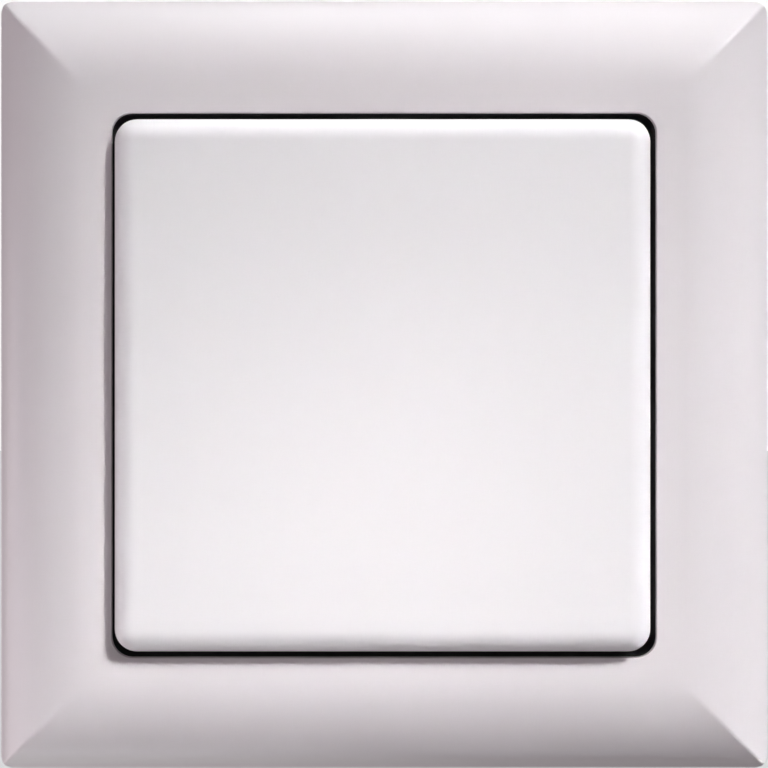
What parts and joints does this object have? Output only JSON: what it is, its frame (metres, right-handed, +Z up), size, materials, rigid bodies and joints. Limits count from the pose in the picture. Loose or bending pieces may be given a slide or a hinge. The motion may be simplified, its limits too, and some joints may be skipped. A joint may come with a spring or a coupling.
{
  "type": "push button light switch",
  "caption": "Flush push button light switch with a square convex cover frame, one rocking button that springs back to level, and an insert with push-in terminals and spreading claws.",
  "frame": {"origin": "centre of the switch on the wall plane", "axes": "+Z up the wall, +X to the right seen from the front, +Y into the wall; the front faces -Y"},
  "size_m": [0.0804, 0.0359, 0.0804],
  "materials": {
    "white_plastic": "satin gloss",
    "insert_plastic": "matte",
    "housing_plastic": "matte",
    "lever_plastic": "matte",
    "seal_rubber": "matte",
    "galvanised_steel": "zinc coated",
    "plated_screw": "zinc plated",
    "spring_steel": "bright drawn",
    "contact_brass": "rolled",
    "silver_contact": "satin"
  },
  "bodies": {
    "switch_insert": {"cover_frame": "white_plastic", "gap_seal": "seal_rubber", "support_ring": "galvanised_steel", "insert_cover": "insert_plastic", "insert_base": "housing_plastic", "housing_rivets": "plated_screw", "return_spring_upper": "spring_steel", "return_spring_lower": "spring_steel", "common_terminal": "contact_brass", "upper_terminal": "contact_brass", "lower_terminal": "contact_brass", "upper_fixed_contact": "silver_contact", "lower_fixed_contact": "silver_contact", "clamp_spring_upper_left": "spring_steel", "clamp_spring_lower_left": "spring_steel", "clamp_spring_upper_right": "spring_steel", "clamp_spring_lower_right": "spring_steel"},
    "button_rocker": {"rocker_button": "white_plastic", "rocker_carrier": "insert_plastic", "plunger_spring": "spring_steel"},
    "plunger_pin": {"plunger": "plated_screw"},
    "contact_lever": {"contact_rocker": "contact_brass", "upper_moving_contact": "silver_contact", "lower_moving_contact": "silver_contact"},
    "left_release": {"release_lever_left": "lever_plastic"},
    "right_release": {"release_lever_right": "lever_plastic"},
    "left_claw": {"claw_left": "galvanised_steel"},
    "right_claw": {"claw_right": "galvanised_steel"},
    "left_claw_screw": {"claw_screw_left": "plated_screw"},
    "right_claw_screw": {"claw_screw_right": "plated_screw"}
  },
  "joints": [
    {"name": "button_press", "type": "hinge", "parent": "switch_insert", "child": "button_rocker", "pos_m": [0, -0.0056, 0], "axis": [1, 0, 0], "range_deg": [-4, 4], "stiffness_Nm_per_rad": 0.8, "deforming": ["return_spring_upper", "return_spring_lower"]},
    {"name": "contact_tilt", "type": "hinge", "parent": "switch_insert", "child": "contact_lever", "pos_m": [0, 0.0098, 0], "axis": [1, 0, 0], "range_deg": [-8, 8]},
    {"name": "plunger_slide", "type": "slide", "parent": "button_rocker", "child": "plunger_pin", "axis": [0, -1, 0], "range_m": [0, 0.0008], "stiffness_N_per_m": 400, "deforming": ["plunger_spring"]},
    {"name": "left_lever_press", "type": "slide", "parent": "switch_insert", "child": "left_release", "axis": [0, -1, 0], "range_m": [0, 0.0012], "stiffness_N_per_m": 2000, "deforming": ["clamp_spring_upper_left", "clamp_spring_lower_left"]},
    {"name": "left_claw_swing", "type": "hinge", "parent": "switch_insert", "child": "left_claw", "pos_m": [-0.02, -0.002, 0], "axis": [0, 0, 1], "range_deg": [0, 12]},
    {"name": "left_screw_turn", "type": "hinge", "parent": "left_claw", "child": "left_claw_screw", "pos_m": [-0.02, 0, 0], "axis": [0, 1, 0], "range_deg": [0, 1080]},
    {"name": "right_lever_press", "type": "slide", "parent": "switch_insert", "child": "right_release", "axis": [0, -1, 0], "range_m": [0, 0.0012], "stiffness_N_per_m": 2000, "deforming": ["clamp_spring_upper_right", "clamp_spring_lower_right"]},
    {"name": "right_claw_swing", "type": "hinge", "parent": "switch_insert", "child": "right_claw", "pos_m": [0.02, -0.002, 0], "axis": [0, 0, -1], "range_deg": [0, 12]},
    {"name": "right_screw_turn", "type": "hinge", "parent": "right_claw", "child": "right_claw_screw", "pos_m": [0.02, 0, 0], "axis": [0, 1, 0], "range_deg": [0, 1080]}
  ],
  "couplings": [
    {"joint": "contact_tilt", "follows": "button_press", "ratio": -2},
    {"joint": "left_claw_swing", "follows": "left_screw_turn", "ratio": 0.011111},
    {"joint": "right_claw_swing", "follows": "right_screw_turn", "ratio": 0.011111}
  ]
}
